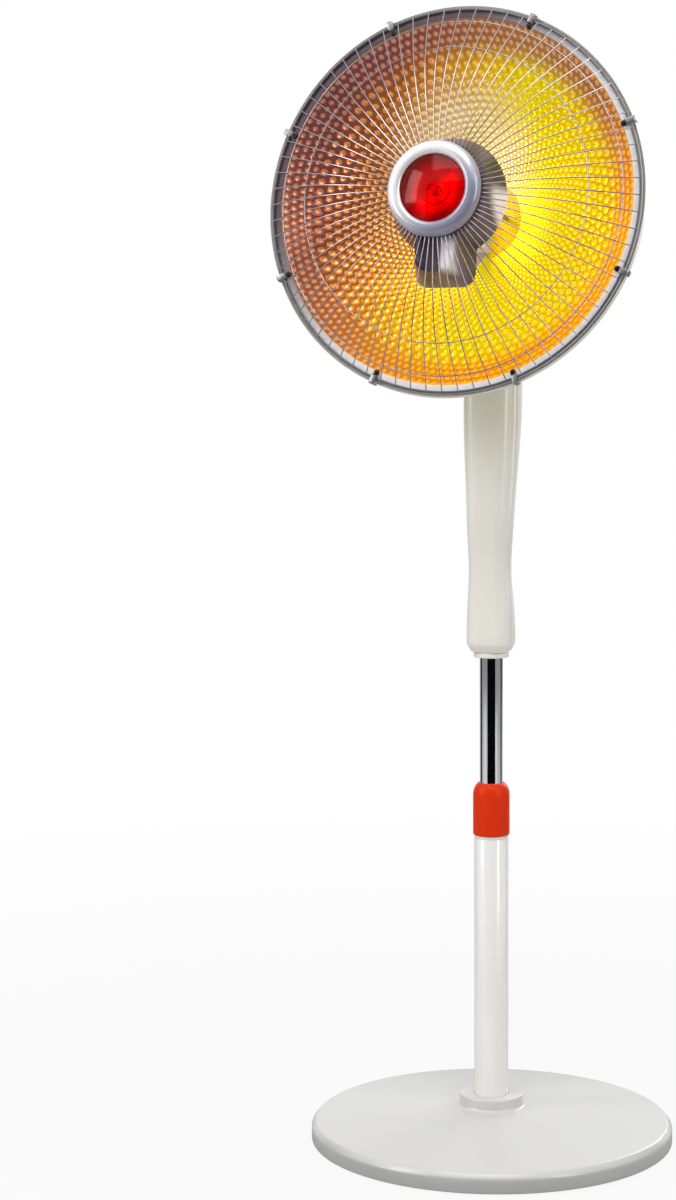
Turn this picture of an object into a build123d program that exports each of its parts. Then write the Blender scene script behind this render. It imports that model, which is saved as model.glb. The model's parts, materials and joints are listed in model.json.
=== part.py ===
from build123d import *
import os
from math import cos, pi, radians, sin, sqrt

# Pedestal dish heater with a carbon element. Millimetres, +Z up, the dish faces -Y at rest.
# The origin is on the floor, at the centre of the round base, on the stem's axis.

# Round base
base_radius = 186.5
base_sides = 48
base_wall = 2.5
cover_lift = 2.0
cover_side_top = 16.5
cover_edge_top = 22.0
cover_edge_run = 4.5
cover_crown_top = 37.0
boss_radius = 33.0
boss_top = 49.0
foot_height = 7.0
foot_radius = 11.0
foot_circle = 158.0
foot_count = 5
plate_thickness = 1.5
plate_radius = 183.5
weight_thickness = 12.0
weight_radius = 140.0
pillar_radius = 5.0
pillar_circle = 155.0
pillar_count = 5
screw_radius = 1.6

# Telescopic stem
lower_tube_radius = 17.5
lower_tube_bore = 16.0
lower_tube_top = 317.0
end_plate_thickness = 5.0
tube_bolt_radius = 5.9
inner_tube_radius = 11.7
inner_tube_bore = 10.5
inner_tube_bottom = 178.0
inner_tube_top = 633.0
slide_clearance = 0.05
bush_bottom = 290.0
bush_flange = 3.0
collet_radius = 14.2
collet_top = 361.0
collet_slot = 2.0
collet_slot_bottom = 332.0
shoe_height = 26.0
collar_radius = 18.8
collar_bottom = 320.3
collar_top = 374.2
collar_shoulder = 363.5

# Neck: height, width, depth, shift backwards and corner radius of each section
neck_sections = [
    (509.5, 36.0, 36.0, 0.0, 17.0),
    (520.0, 45.0, 44.0, -1.0, 14.0),
    (555.0, 42.5, 43.0, -2.0, 10.0),
    (595.0, 38.5, 40.0, -4.0, 8.0),
    (635.0, 42.5, 43.0, -3.5, 8.0),
    (740.0, 52.5, 53.0, 4.0, 12.0),
    (858.0, 50.0, 50.0, 8.0, 20.0),
]
neck_ring_bottom = 503.7
neck_wall = 4.4
neck_ring_radius = 18.0
neck_floor_top = 519.5
tube_shelf = (625.0, 633.0)
switch_shelf = (736.0, 739.0)
neck_lid_bottom = 850.0
neck_screw_heights = (514.5, 629.0, 854.0)
neck_screw_x = 15.5
neck_screw_seat = 12.0
neck_screw_length = 20.0
gland_height = 548.0
gland_face = 20.2
gland_bore = 3.5
switch_height = 700.0
switch_back = 18.0
switch_depth = 14.0
switch_bushing = 8.0
spindle_radius = 3.0
knob_back = 28.6
knob_radius = 15.0

# Swivel and tilt
swivel_y = 8.0
spigot_radius = 9.0
spigot_bore = 5.5
swivel_gap = 0.3
bearing_height = 12.0
clip_thickness = 2.5
yoke_plate_top = 863.3
pivot_height = 893.0
pivot_radius = 4.0
pivot_clearance = 0.05
ear_inner = 9.0
ear_thickness = 4.0
ear_radius = 14.0
friction_washer = 1.2
lug_half_width = 7.5
lug_radius = 12.0
lug_plate = 3.0
yoke_width = 36.0

# Dish: the local frame has X to the right, Y up the dish and Z out along its axis, from the rim's centre
dish_reach = 123.2
dish_height = 958.3
dish_tilt = 8.83
dish_sides = 48
shell_radius = 190.0
shell_front = -2.4
shell_bead_back = -6.0
shell_bowl_radius = 186.0
shell_bowl_front = -9.0
shell_vertex = -112.0
shell_back_radius = 55.0
shell_bands = 3
vent_count = 8
shell_wall = 2.4
shell_hole_radius = 9.0
reflector_radius = 187.0
reflector_front = -1.6
reflector_wall = 0.9
bowl_radius = 178.0
bowl_front = -3.2
bowl_vertex = -96.0
bowl_flat_radius = 40.0
bowl_bands = 4
reflector_hole = 8.0

# Wire grille
ring_sides = 40
hub_sides = 36
wire_count = 72
wire_width = 1.8
wire_route = [(38.5, 50.0), (100.0, 43.0), (145.0, 25.5), (174.0, 9.0), (185.5, 2.4)]
rim_ring_radius = 185.3
rim_ring_width = 3.2
front_ring_radius = 171.0
middle_ring_radius = 142.0
clip_count = 8
clip_width = 8.0
clip_sheet = 1.4
clip_screw_circle = 179.4

# Element, shield and hub
element_radius = 6.0
element_axis = -11.0
element_bottom = -58.0
element_top = 38.0
shield_radius = 58.0
shield_back = 9.0
shield_front = 44.5
shield_taper = 17.0
shield_sheet = 1.0
tongue_width = 61.0
tongue_bottom = -86.0
tongue_corner = 14.0
shield_post_x = 26.0
hub_plate_radius = 44.0
bezel_radius = 46.0
bezel_bore = 33.5
lens_radius = 33.3


def to_dish(y, z):
    """Place across and along the dish of a point of the upright middle plane."""
    dy = y + dish_reach
    dz = z - dish_height
    tilt = radians(dish_tilt)
    return dy * sin(tilt) + dz * cos(tilt), dz * sin(tilt) - dy * cos(tilt)


dish_normal = (0, -cos(radians(dish_tilt)), sin(radians(dish_tilt)))
dish_place = Plane(origin=(0, -dish_reach, dish_height), x_dir=(1, 0, 0), z_dir=dish_normal).location


def skinned(rings):
    """A solid with flat sides through rings of points that lie one above the other."""
    sides = [Face(Wire.make_polygon(rings[0])), Face(Wire.make_polygon(rings[-1]))]
    for low, high in zip(rings, rings[1:]):
        for i in range(len(low)):
            sides.append(Face(Wire.make_polygon([low[i - 1], low[i], high[i], high[i - 1]])))
    return Solid(Shell(sides))


def rounds(outline, sides):
    """A solid of regular polygons, one above the other, through pairs of radius and height."""
    turns = [2 * pi * i / sides for i in range(sides)]
    return skinned([[(r * cos(turn), r * sin(turn), z) for turn in turns] for r, z in outline])


def prism(radius, sides, bottom, top, hole=False):
    """A regular prism. As a hole it has its flats, not its corners, at the radius."""
    return extrude(Pos(0, 0, bottom) * RegularPolygon(radius, sides, major_radius=not hole), top - bottom)


def soft_corners(width, depth, corner):
    """Points of a rectangle whose corners are each rounded in three chords, always at the same angles."""
    points = []
    for quarter, (side_x, side_y) in enumerate([(1, 1), (-1, 1), (-1, -1), (1, -1)]):
        for step in range(4):
            angle = radians(90 * quarter + 30 * step)
            points.append((side_x * (width / 2 - corner) + corner * cos(angle),
                           side_y * (depth / 2 - corner) + corner * sin(angle)))
    return points


def disc(radius, bottom, top, hole=0.0):
    plate = Circle(radius)
    if hole:
        plate -= Circle(hole)
    return extrude(Pos(0, 0, bottom) * plate, top - bottom)


def around(piece, count, first=0.0):
    """Copies of a piece spread evenly about Z, as separate solids."""
    return Compound([Rot(0, 0, first + 360 * i / count) * piece for i in range(count)])


def hex_bolt(across_flats, head_height, shank_radius, shank_length):
    """Head upwards from Z = 0, shank downwards."""
    head = extrude(RegularPolygon(across_flats / 2, 6, major_radius=False), head_height)
    return head + extrude(RegularPolygon(shank_radius, 12), -shank_length)


def small_screw(head_radius, head_height, shank_length):
    """Domed head upwards from Z = 0, shank downwards."""
    head = extrude(RegularPolygon(head_radius, 6), head_height, taper=20)
    return head + extrude(RegularPolygon(screw_radius, 6), -shank_length)


# Base

bolt_hole = prism(tube_bolt_radius + 0.2, 12, 0, 60, hole=True)


def base_cover():
    """Shallow cone with a rounded edge, a boss round the tube and screw pillars inside."""
    inside = base_radius - base_wall
    crown_run = base_radius - cover_edge_run - boss_radius
    slope = (cover_crown_top - cover_edge_top) / crown_run
    under_edge = cover_edge_top - 2 * base_wall
    under_boss = under_edge + slope * (inside - boss_radius)
    cover = rounds([
        (base_radius, cover_lift),
        (base_radius, cover_side_top),
        (base_radius - cover_edge_run, cover_edge_top),
        (boss_radius, cover_crown_top),
    ], base_sides)
    cover += prism(boss_radius, 30, cover_crown_top, boss_top)
    cover -= rounds([(inside, cover_lift - 1), (inside, under_edge), (boss_radius, under_boss)], base_sides)
    cover -= prism(lower_tube_radius + 0.1, 30, under_boss - 1, boss_top + 1, hole=True)
    pillar_bottom = foot_height + plate_thickness
    pillar_top = under_edge + slope * (inside - pillar_circle)
    pillar = prism(pillar_radius, 6, pillar_bottom, pillar_top + base_wall)
    pillar -= prism(screw_radius, 6, pillar_bottom, pillar_top - 1)
    for i in range(pillar_count):
        cover += Rot(0, 0, 36 + 72 * i) * Pos(pillar_circle, 0, 0) * pillar
    return cover


def base_plate():
    bottom = foot_height
    top = bottom + plate_thickness
    plate = prism(plate_radius, base_sides, bottom, top) - bolt_hole
    for i in range(pillar_count):
        plate -= Rot(0, 0, 36 + 72 * i) * Pos(pillar_circle, 0, 0) * prism(screw_radius, 6, bottom, top)
    return plate


def base_weight():
    bottom = foot_height + plate_thickness
    return prism(weight_radius, 36, bottom, bottom + weight_thickness) - bolt_hole


def base_feet():
    foot = extrude(RegularPolygon(foot_radius, 8), -foot_height, taper=8)
    return around(Pos(foot_circle, 0, foot_height) * foot, foot_count)


def base_plate_screws():
    screw = Rot(180, 0, 0) * small_screw(3.4, 2.0, 9.0)
    return around(Pos(pillar_circle, 0, foot_height) * screw, pillar_count, 36)


def bolt_washer():
    return extrude(Pos(0, 0, foot_height - 2) * Rectangle(30, 30), 2) - bolt_hole


def tube_bolt():
    return Pos(0, 0, foot_height - 2) * Rot(180, 0, 0) * hex_bolt(18, 4, tube_bolt_radius, 30)


# Stem

def lower_tube():
    bottom = foot_height + plate_thickness + weight_thickness
    tube = disc(lower_tube_radius, bottom, lower_tube_top, lower_tube_bore)
    end_plate = disc(lower_tube_bore + 0.5, bottom, bottom + end_plate_thickness)
    return tube + end_plate - tube_bolt()


def guide_bush():
    """Sleeve in the lower tube's mouth with a split collet that the collar squeezes."""
    flange_top = lower_tube_top + bush_flange
    bush = prism(lower_tube_bore, 20, bush_bottom, lower_tube_top)
    bush += prism(lower_tube_radius, 20, lower_tube_top, flange_top)
    bush += prism(collet_radius, 20, flange_top, collet_top)
    bush -= prism(inner_tube_radius + slide_clearance, 20, bush_bottom - 1, collet_top + 1, hole=True)
    slot_height = collet_top - collet_slot_bottom
    return bush - Pos(0, 0, collet_slot_bottom + slot_height / 2) * Box(40, collet_slot, slot_height)


def lock_collar():
    """Twist collar with a rounded shoulder, hollow round the collet."""
    collar = rounds([
        (collar_radius, collar_bottom),
        (collar_radius, collar_shoulder),
        (collar_radius - 1.8, collar_top - 4),
        (collar_radius - 5.2, collar_top),
    ], 30)
    collar -= prism(collet_radius + 0.3, 24, collar_bottom - 1, collet_top + 1)
    return collar - prism(inner_tube_radius + 0.4, 24, collet_top, collar_top + 1, hole=True)


def inner_tube():
    return disc(inner_tube_radius, inner_tube_bottom, inner_tube_top, inner_tube_bore)


def tube_shoe():
    """Plastic slide shoe round the inner tube's lower end."""
    top = inner_tube_bottom + shoe_height
    shoe = prism(lower_tube_bore - slide_clearance, 24, inner_tube_bottom, top)
    return shoe - prism(inner_tube_radius, 24, inner_tube_bottom - 1, top + 1, hole=True)


# Neck

def neck_form():
    """The waisted neck, section by section."""
    rings = []
    for height, width, depth, shift, corner in neck_sections:
        rings.append([(x, y + shift, height) for x, y in soft_corners(width, depth, corner)])
    return skinned(rings)


def neck_room():
    """The space inside the neck, with plain corners."""
    rings = []
    for height, width, depth, shift, _ in neck_sections:
        x, y = width / 2 - neck_wall, depth / 2 - neck_wall
        rings.append([(x, y + shift, height), (-x, y + shift, height),
                      (-x, -y + shift, height), (x, -y + shift, height)])
    return skinned(rings)


def slab(bottom, top):
    return Pos(0, 0, (bottom + top) / 2) * Box(90, 90, top - bottom)


def neck():
    """Whole neck with its end ring, floor, tube shelf, switch shelf and lid, bored for tube and spigot."""
    ring_top = neck_sections[0][0]
    top = neck_sections[-1][0]
    room = neck_room()
    room -= slab(ring_top - 1, neck_floor_top)
    room -= slab(*tube_shelf)
    room -= slab(*switch_shelf)
    room -= slab(neck_lid_bottom, top + 1)
    shell = neck_form() - room + prism(neck_ring_radius, 24, neck_ring_bottom, ring_top)
    shell -= prism(inner_tube_radius, 24, neck_ring_bottom - 1, inner_tube_top, hole=True)
    shell -= Pos(0, swivel_y) * prism(spigot_radius + 0.4, 16, neck_lid_bottom - 1, top + 1, hole=True)
    shell -= Pos(0, swivel_y) * prism(8, 6, switch_shelf[0] - 1, switch_shelf[1] + 1)
    return shell - neck_screws()


def neck_front(shell):
    return shell & Pos(0, -50, 680) * Box(100, 100, 400)


def neck_rear(shell):
    """Rear half, with recesses over the screw heads and holes for the gland and the switch."""
    rear = shell & Pos(0, 50, 680) * Box(100, 100, 400)
    recess = Rot(-90, 0, 0) * extrude(RegularPolygon(3.8, 6), 40)
    for height in neck_screw_heights:
        for side in (-1, 1):
            rear -= Pos(side * neck_screw_x, neck_screw_seat, height) * recess
    rear -= Pos(0, gland_face, gland_height) * Rot(90, 0, 0) * extrude(RegularPolygon(5, 6), 12)
    rear -= Pos(0, switch_back, switch_height) * Rot(-90, 0, 0) * extrude(Rectangle(8, 8), 12)
    return rear


def neck_screws():
    """Screws driven into the front half from behind, through the floor, the tube shelf and the lid."""
    screw = Rot(-90, 0, 0) * small_screw(3.2, 1.8, neck_screw_length)
    screws = []
    for height in neck_screw_heights:
        for side in (-1, 1):
            screws.append(Pos(side * neck_screw_x, neck_screw_seat, height) * screw)
    return Compound(screws)


def swivel_bearing():
    """Plastic block under the neck's lid that the yoke turns in."""
    block = Rectangle(30, 30) - RegularPolygon(spigot_radius + pivot_clearance, 16, major_radius=False)
    return extrude(Pos(0, swivel_y, neck_lid_bottom - bearing_height) * block, bearing_height)


def power_switch():
    """Rotary switch behind the rear wall, with the bushing that its spindle turns in."""
    body = Pos(0, switch_back - switch_depth / 2, switch_height) * Box(22, switch_depth, 26)
    bore = RegularPolygon(spindle_radius + 0.05, 12, major_radius=False)
    bushing = extrude(Rectangle(8, 8) - bore, switch_bushing)
    bushing = Pos(0, switch_back, switch_height) * Rot(-90, 0, 0) * bushing
    socket = extrude(bore, switch_depth - 3)
    return body - Pos(0, switch_back, switch_height) * Rot(90, 0, 0) * socket + bushing


def power_knob():
    """Pointer knob on the rear face, with its spindle."""
    skirt = extrude(RegularPolygon(knob_radius, 12), 3)
    grip = extrude(Pos(0, 0, 3) * Rectangle(24, 8), 10, taper=6)
    spindle = extrude(RegularPolygon(spindle_radius, 12), switch_back - knob_back - switch_depth / 2)
    return Pos(0, knob_back, switch_height) * Rot(-90, 0, 0) * (skirt + grip + spindle)


def tip_switch():
    """Sealed ball switch that cuts the power when the heater falls over."""
    capsule = extrude(Rectangle(24, 16), 3) + extrude(RegularPolygon(7.5, 12), 22)
    return Pos(0, -3, tube_shelf[1]) * capsule


def terminal_block():
    block = Box(20, 12, 14, align=(Align.CENTER, Align.CENTER, Align.MIN))
    for x in (-5, 5):
        block -= Pos(x, 0, 8) * extrude(RegularPolygon(2.5, 6), 7)
    return Pos(10, swivel_y + 8, switch_shelf[1]) * block


def cord_gland():
    """Hexagonal gland in the rear wall where the mains lead goes in."""
    hexagon = extrude(RegularPolygon(7, 6), 6) + extrude(RegularPolygon(5, 6), -6)
    gland = hexagon - extrude(RegularPolygon(gland_bore, 8), 10, both=True)
    return Pos(0, gland_face, gland_height) * Rot(-90, 0, 0) * gland


# Yoke

clip_bottom = neck_lid_bottom - bearing_height - swivel_gap - clip_thickness
pivot_place = Pos(0, swivel_y, pivot_height)
ear_outer = ear_inner + ear_thickness


def yoke():
    """Plate with two ears for the tilt bolt and a hollow spigot that turns in the neck."""
    top = neck_sections[-1][0] + swivel_gap
    plate = extrude(Pos(0, swivel_y, top) * Rectangle(yoke_width, 34), yoke_plate_top - top)
    front, back = swivel_y - ear_radius, swivel_y + ear_radius
    crown = pivot_height + ear_radius
    ear = make_face(Polyline(
        (front, yoke_plate_top - 1),
        (front, pivot_height + 5),
        (swivel_y - 6, crown),
        (swivel_y + 6, crown),
        (back, pivot_height + 5),
        (back, yoke_plate_top - 1),
        close=True,
    ))
    ear -= Pos(swivel_y, pivot_height) * RegularPolygon(pivot_radius + 0.1, 10, major_radius=False)
    for side in (-1, 1):
        plate += extrude(Plane.YZ.offset(side * (ear_inner + ear_thickness / 2)) * ear,
                         ear_thickness / 2, both=True)
    spigot_bottom = clip_bottom - 2
    plate += Pos(0, swivel_y) * prism(spigot_radius, 16, spigot_bottom, top + 1)
    bore = extrude(RegularPolygon(spigot_bore, 10), yoke_plate_top - spigot_bottom)
    return plate - Pos(0, swivel_y, spigot_bottom) * bore


def swivel_clip():
    """Spring clip round the spigot under the bearing block, open on one side."""
    clip = RegularPolygon(14, 8) - RegularPolygon(spigot_radius, 8, major_radius=False)
    clip -= Pos(0, -10) * Rectangle(9, 20)
    return extrude(Pos(0, swivel_y, clip_bottom) * clip, clip_thickness)


def tilt_bolt():
    bolt = hex_bolt(13, 5, pivot_radius, 2 * ear_outer + 8)
    return pivot_place * Pos(ear_outer, 0, 0) * Rot(0, 90, 0) * bolt


def tilt_nut():
    nut = RegularPolygon(6.5, 6, major_radius=False) - RegularPolygon(pivot_radius, 12, major_radius=False)
    return pivot_place * Pos(-ear_outer, 0, 0) * Rot(0, -90, 0) * extrude(nut, 6.5)


def friction_washers():
    """One washer inside each ear, so that the dish stays where it is tilted."""
    washer = RegularPolygon(10, 8) - RegularPolygon(pivot_radius + 0.1, 8, major_radius=False)
    washer = extrude(washer, friction_washer)
    right = pivot_place * Pos(ear_inner, 0, 0) * Rot(0, -90, 0) * washer
    left = pivot_place * Pos(-ear_inner, 0, 0) * Rot(0, 90, 0) * washer
    return Compound([left, right])


# Dish, in its local frame

def bowl_depth(radius):
    """Height of the reflector's parabola at a radius."""
    return bowl_vertex + (bowl_front - bowl_vertex) * (radius / bowl_radius) ** 2


bowl_floor = bowl_depth(bowl_flat_radius)
bowl_floor_back = bowl_floor - reflector_wall
flange_back = shell_front


def reflector():
    """Parabolic bowl with a flat floor and a flat flange."""
    step = (bowl_radius - bowl_flat_radius) / bowl_bands
    radii = [bowl_flat_radius + step * i for i in range(bowl_bands + 1)]
    front = [(r, bowl_depth(r)) for r in radii]
    back = [(r, bowl_depth(r) - reflector_wall) for r in radii]
    lip = bowl_radius + 0.6
    bowl = rounds([*back, (lip, flange_back)], dish_sides)
    bowl += prism(reflector_radius, dish_sides, flange_back, reflector_front)
    bowl -= rounds([*front, (lip, reflector_front), (lip, reflector_front + 1)], dish_sides)
    bowl -= prism(reflector_hole, 8, bowl_floor_back - 1, bowl_floor + 1)
    return bowl - clip_screws() - bracket_screws()


def shell_depth(radius, wall=0.0):
    """Height of the rear shell's parabola at a radius, raised by the wall."""
    rise = shell_bowl_front - shell_vertex
    return shell_vertex + wall + rise * (radius / shell_bowl_radius) ** 2


shell_back_face = shell_depth(shell_back_radius)
shell_floor = shell_back_face + shell_wall


def rear_shell():
    """Parabolic cover with a beaded mouth, a flat back and a ring of vent slots."""
    step = (shell_bowl_radius - shell_back_radius) / shell_bands
    radii = [shell_back_radius + step * i for i in range(shell_bands)]
    inner_mouth = shell_bowl_radius - shell_wall
    shell = rounds([*[(r, shell_depth(r)) for r in radii], (shell_bowl_radius, shell_bowl_front),
                    (shell_radius, shell_bead_back), (shell_radius, shell_front)], dish_sides)
    shell -= rounds([*[(r, shell_depth(r, shell_wall)) for r in radii], (inner_mouth, shell_bowl_front),
                     (inner_mouth, shell_front + 1)], dish_sides)
    shell -= prism(shell_hole_radius, 8, shell_back_face - 1, shell_floor + 1)
    middle = shell_back_radius + step / 2
    slot = Pos(middle, 0, shell_depth(middle)) * Box(step * 0.7, 5, 40)
    for i in range(vent_count):
        shell -= Rot(0, 0, 22.5 + 360 * i / vent_count) * slot
    return shell - lug_screws()


def lug_screws():
    screw = Rot(180, 0, 0) * small_screw(3.4, 1.8, 6)
    back = shell_back_face - lug_plate
    return Compound([Pos(x, y, back) * screw for x in (-20, 20) for y in (12, -38)])


def tilt_lug():
    """Plate on the shell's flat back, with the tongue that swings between the yoke's ears."""
    across, along = to_dish(swivel_y, pivot_height)
    back = shell_back_face - lug_plate
    plate = extrude(Pos(0, -14, back) * Rectangle(52, 64), lug_plate)
    plate -= prism(shell_hole_radius, 8, back - 1, shell_back_face + 1)
    eye = Pos(across, along) * RegularPolygon(lug_radius, 12)
    root = Line((across - 4, back), (across + 34, back))
    bore = RegularPolygon(pivot_radius + pivot_clearance, 12, major_radius=False)
    side = make_hull([*eye.edges(), root]) - Pos(across, along) * bore
    tongue = extrude(Plane.YZ * side, lug_half_width, both=True)
    return plate + tongue - lug_screws()


# Element

def element_bracket():
    """Folded steel strip that carries the element in front of the reflector."""
    foot = bowl_floor + 1
    strip = Polyline((51, -1), (51, -28), (34, foot), (-34, foot), (-71, -28), (-71, -1))
    bracket = extrude(Plane.YZ * trace(strip, line_width=2), 11, both=True)
    bracket -= Pos(0, 0, foot) * Box(14, 12, 6)
    return bracket - bracket_screws()


def bracket_screws():
    screw = small_screw(3.0, 1.6, 6)
    return Compound([Pos(0, y, bowl_floor + 2) * screw for y in (-24, 24)])


def element_holders():
    """Ceramic blocks that grip the ends of the quartz tube."""
    upper = Pos(0, element_top + 6, element_axis) * Box(18, 12, 18)
    lower = Pos(0, element_bottom - 6, element_axis) * Box(18, 12, 18)
    tube = Pos(0, element_bottom - 6, element_axis) * Rot(-90, 0, 0)
    socket = tube * extrude(RegularPolygon(element_radius, 12), element_top - element_bottom + 12)
    return Compound([upper - socket, lower - socket])


def quartz_tube():
    wall = RegularPolygon(element_radius, 12) - RegularPolygon(element_radius - 1, 12)
    start = Pos(0, element_bottom - 6, element_axis) * Rot(-90, 0, 0)
    return start * extrude(wall, element_top - element_bottom + 12)


def carbon_filament():
    start = Pos(0, element_bottom - 6, element_axis) * Rot(-90, 0, 0)
    return start * extrude(RegularPolygon(1.8, 6), element_top - element_bottom + 12)


def element_leads():
    """Sleeved leads from the back of each holder through the reflector's hole."""
    end = bowl_floor_back - 1.2
    leads = []
    for x, y in ((5, 44), (-5, -64)):
        turn = 8 if y > 0 else -8
        route = Polyline((x, y, element_axis - 9.8), (x, y * 0.78, -52),
                         (x, turn * 0.6, -82), (x, turn * 0.4, end))
        section = Plane(origin=route @ 0, z_dir=route % 0) * Rectangle(2.2, 2.2)
        leads.append(sweep(section, path=route, transition=Transition.RIGHT))
    return Compound(leads)


def element_terminal():
    """Ceramic terminal between the reflector and the shell's floor."""
    top = bowl_floor_back - 1.6
    return Pos(0, 0, (top + shell_floor) / 2) * Box(26, 14, top - shell_floor)


def thermal_cutout():
    return Pos(-25, 10, bowl_floor_back) * extrude(RegularPolygon(8, 8), -6)


# Shield

def keyhole(inset):
    """Outline of the shield: a circle with a tongue below it."""
    middle = tongue_bottom / 2 + inset / 2
    corners = soft_corners(tongue_width - 2 * inset, -tongue_bottom - inset, tongue_corner)
    tongue = make_face(Polyline(*corners, close=True))
    return RegularPolygon(shield_radius - inset, hub_sides) + Pos(0, middle) * tongue


def front_shield():
    """Deep-drawn bright cup with a tongue, open at the back."""
    depth = shield_front - shield_back
    cup = extrude(Pos(0, 0, shield_back) * keyhole(0), depth, taper=shield_taper)
    inside = Pos(0, 0, shield_back) * keyhole(shield_sheet)
    return cup - extrude(inside, depth - shield_sheet, taper=shield_taper) - shield_screws()


def shield_posts():
    """Posts from the reflector's floor to the inside of the shield's front."""
    height = shield_front - shield_sheet - bowl_floor
    post = extrude(RegularPolygon(3.2, 6), height)
    posts = [Pos(x, 0, bowl_floor) * post for x in (-shield_post_x, shield_post_x)]
    return Compound([post - shield_screws() for post in posts])


def shield_screws():
    screw = small_screw(3.0, 1.6, 8)
    return Compound([Pos(x, 0, shield_front) * screw for x in (-shield_post_x, shield_post_x)])


# Grille and hub

def wire_middle(radius):
    """Height of a grille wire's centre line and its slope at a radius."""
    for (r0, z0), (r1, z1) in zip(wire_route, wire_route[1:]):
        if radius <= r1:
            slope = (z1 - z0) / (r1 - r0)
            return z0 + slope * (radius - r0), slope
    raise ValueError("radius is past the wire's end")


def wire_side(radius, side):
    """Height of a grille wire's front (side 1) or back (side -1) at a radius."""
    middle, slope = wire_middle(radius)
    return middle + side * wire_width / 2 * sqrt(1 + slope ** 2)


def grille_wires():
    """Radial wires, domed from the hub to the front ring and bent back to the rim ring."""
    side = Plane.XZ * trace(Polyline(*wire_route), line_width=wire_width)
    return around(extrude(side, wire_width / 2, both=True), wire_count)


def wire_ring(radius, width, top):
    ring = RegularPolygon(radius + width / 2, ring_sides) - RegularPolygon(radius - width / 2, ring_sides)
    return extrude(Pos(0, 0, top - width) * ring, width)


def grille_clips():
    """Spring clips: foot on the reflector's flange, over the rim ring, hooked behind the shell's bead."""
    foot = reflector_front + clip_sheet / 2
    strap = rim_ring_width / 2 + clip_sheet / 2
    leg = shell_radius + 0.6 + clip_sheet / 2
    hook = shell_bead_back - 1.5
    route = Polyline((177.2, foot), (182.4, foot), (182.4, strap), (leg, strap), (leg, hook))
    clip = extrude(Plane.XZ * trace(route, line_width=clip_sheet), clip_width / 2, both=True)
    return Compound([piece - clip_screws() for piece in around(clip, clip_count, 22.5).solids()])


def clip_screws():
    screw = Pos(clip_screw_circle, 0, reflector_front + clip_sheet) * small_screw(2.2, 1.4, 4)
    return around(screw, clip_count, 22.5)


hub_plate_top = wire_side(hub_plate_radius, -1)
hub_plate_bottom = hub_plate_top - 1.4


def hub_plate():
    plate = extrude(Pos(0, 0, hub_plate_bottom) * RegularPolygon(hub_plate_radius, 24), 1.4)
    return plate - hub_screws()


def hub_screws():
    """Screws through the plate, inside the wires' ends, into the bezel."""
    screw = Pos(bezel_bore + 2.4, 0, hub_plate_bottom) * Rot(180, 0, 0) * small_screw(2.8, 1.6, 8)
    return around(screw, 3, 30)


def hub_bezel():
    """Ring that clamps the wires' inner ends on the plate and holds the lens."""
    wire_start = wire_route[0][0]
    seat = wire_side(wire_start, 1) + 0.08
    bezel = rounds([(bezel_radius, seat), (bezel_radius, 56.0), (bezel_radius - 6.0, 62.0)], hub_sides)
    bezel += prism(wire_start - 0.5, hub_sides, hub_plate_top, seat)
    return bezel - prism(bezel_bore, hub_sides, hub_plate_top - 1, 63) - hub_screws()


def hub_lens():
    """Domed red lens in the bezel, on the hub plate."""
    edge, crown = 60.5, 67.5
    return rounds([(lens_radius, hub_plate_top), (lens_radius, edge), (26, 64.0), (14, 66.6), (4, crown)], hub_sides)


if __name__ == "__main__":
    os.makedirs("parts", exist_ok=True)
    whole_neck = neck()
    upright_pieces = {
        "base_cover": base_cover(),
        "base_plate": base_plate(),
        "base_weight": base_weight(),
        "base_feet": base_feet(),
        "base_plate_screws": base_plate_screws(),
        "bolt_washer": bolt_washer(),
        "tube_bolt": tube_bolt(),
        "lower_tube": lower_tube(),
        "guide_bush": guide_bush(),
        "lock_collar": lock_collar(),
        "inner_tube": inner_tube(),
        "tube_shoe": tube_shoe(),
        "neck_front": neck_front(whole_neck),
        "neck_rear": neck_rear(whole_neck),
        "neck_screws": neck_screws(),
        "swivel_bearing": swivel_bearing(),
        "power_switch": power_switch(),
        "power_knob": power_knob(),
        "tip_switch": tip_switch(),
        "terminal_block": terminal_block(),
        "cord_gland": cord_gland(),
        "yoke": yoke(),
        "swivel_clip": swivel_clip(),
        "tilt_bolt": tilt_bolt(),
        "tilt_nut": tilt_nut(),
        "friction_washers": friction_washers(),
    }
    rim_top = rim_ring_width / 2
    front_top = wire_side(front_ring_radius + wire_width / 2, -1)
    middle_top = wire_side(middle_ring_radius + wire_width / 2, -1)
    dish_pieces = {
        "rear_shell": rear_shell(),
        "tilt_lug": tilt_lug(),
        "lug_screws": lug_screws(),
        "reflector": reflector(),
        "element_bracket": element_bracket(),
        "bracket_screws": bracket_screws(),
        "element_holders": element_holders(),
        "quartz_tube": quartz_tube(),
        "carbon_filament": carbon_filament(),
        "element_leads": element_leads(),
        "element_terminal": element_terminal(),
        "thermal_cutout": thermal_cutout(),
        "front_shield": front_shield(),
        "shield_posts": shield_posts(),
        "shield_screws": shield_screws(),
        "hub_plate": hub_plate(),
        "hub_bezel": hub_bezel(),
        "hub_lens": hub_lens(),
        "hub_screws": hub_screws(),
        "grille_wires": grille_wires(),
        "grille_rim_ring": wire_ring(rim_ring_radius, rim_ring_width, rim_top),
        "grille_front_ring": wire_ring(front_ring_radius, wire_width, front_top),
        "grille_middle_ring": wire_ring(middle_ring_radius, wire_width, middle_top),
        "grille_clips": grille_clips(),
        "clip_screws": clip_screws(),
    }
    for name, piece in upright_pieces.items():
        export_step(piece, f"parts/{name}.step")
    for name, piece in dish_pieces.items():
        export_step(dish_place * piece, f"parts/{name}.step")
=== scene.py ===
import bpy
import json
from math import atan2, cos, hypot, log, pi, radians, sin, sqrt, tan
from mathutils import Matrix, Vector


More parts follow.
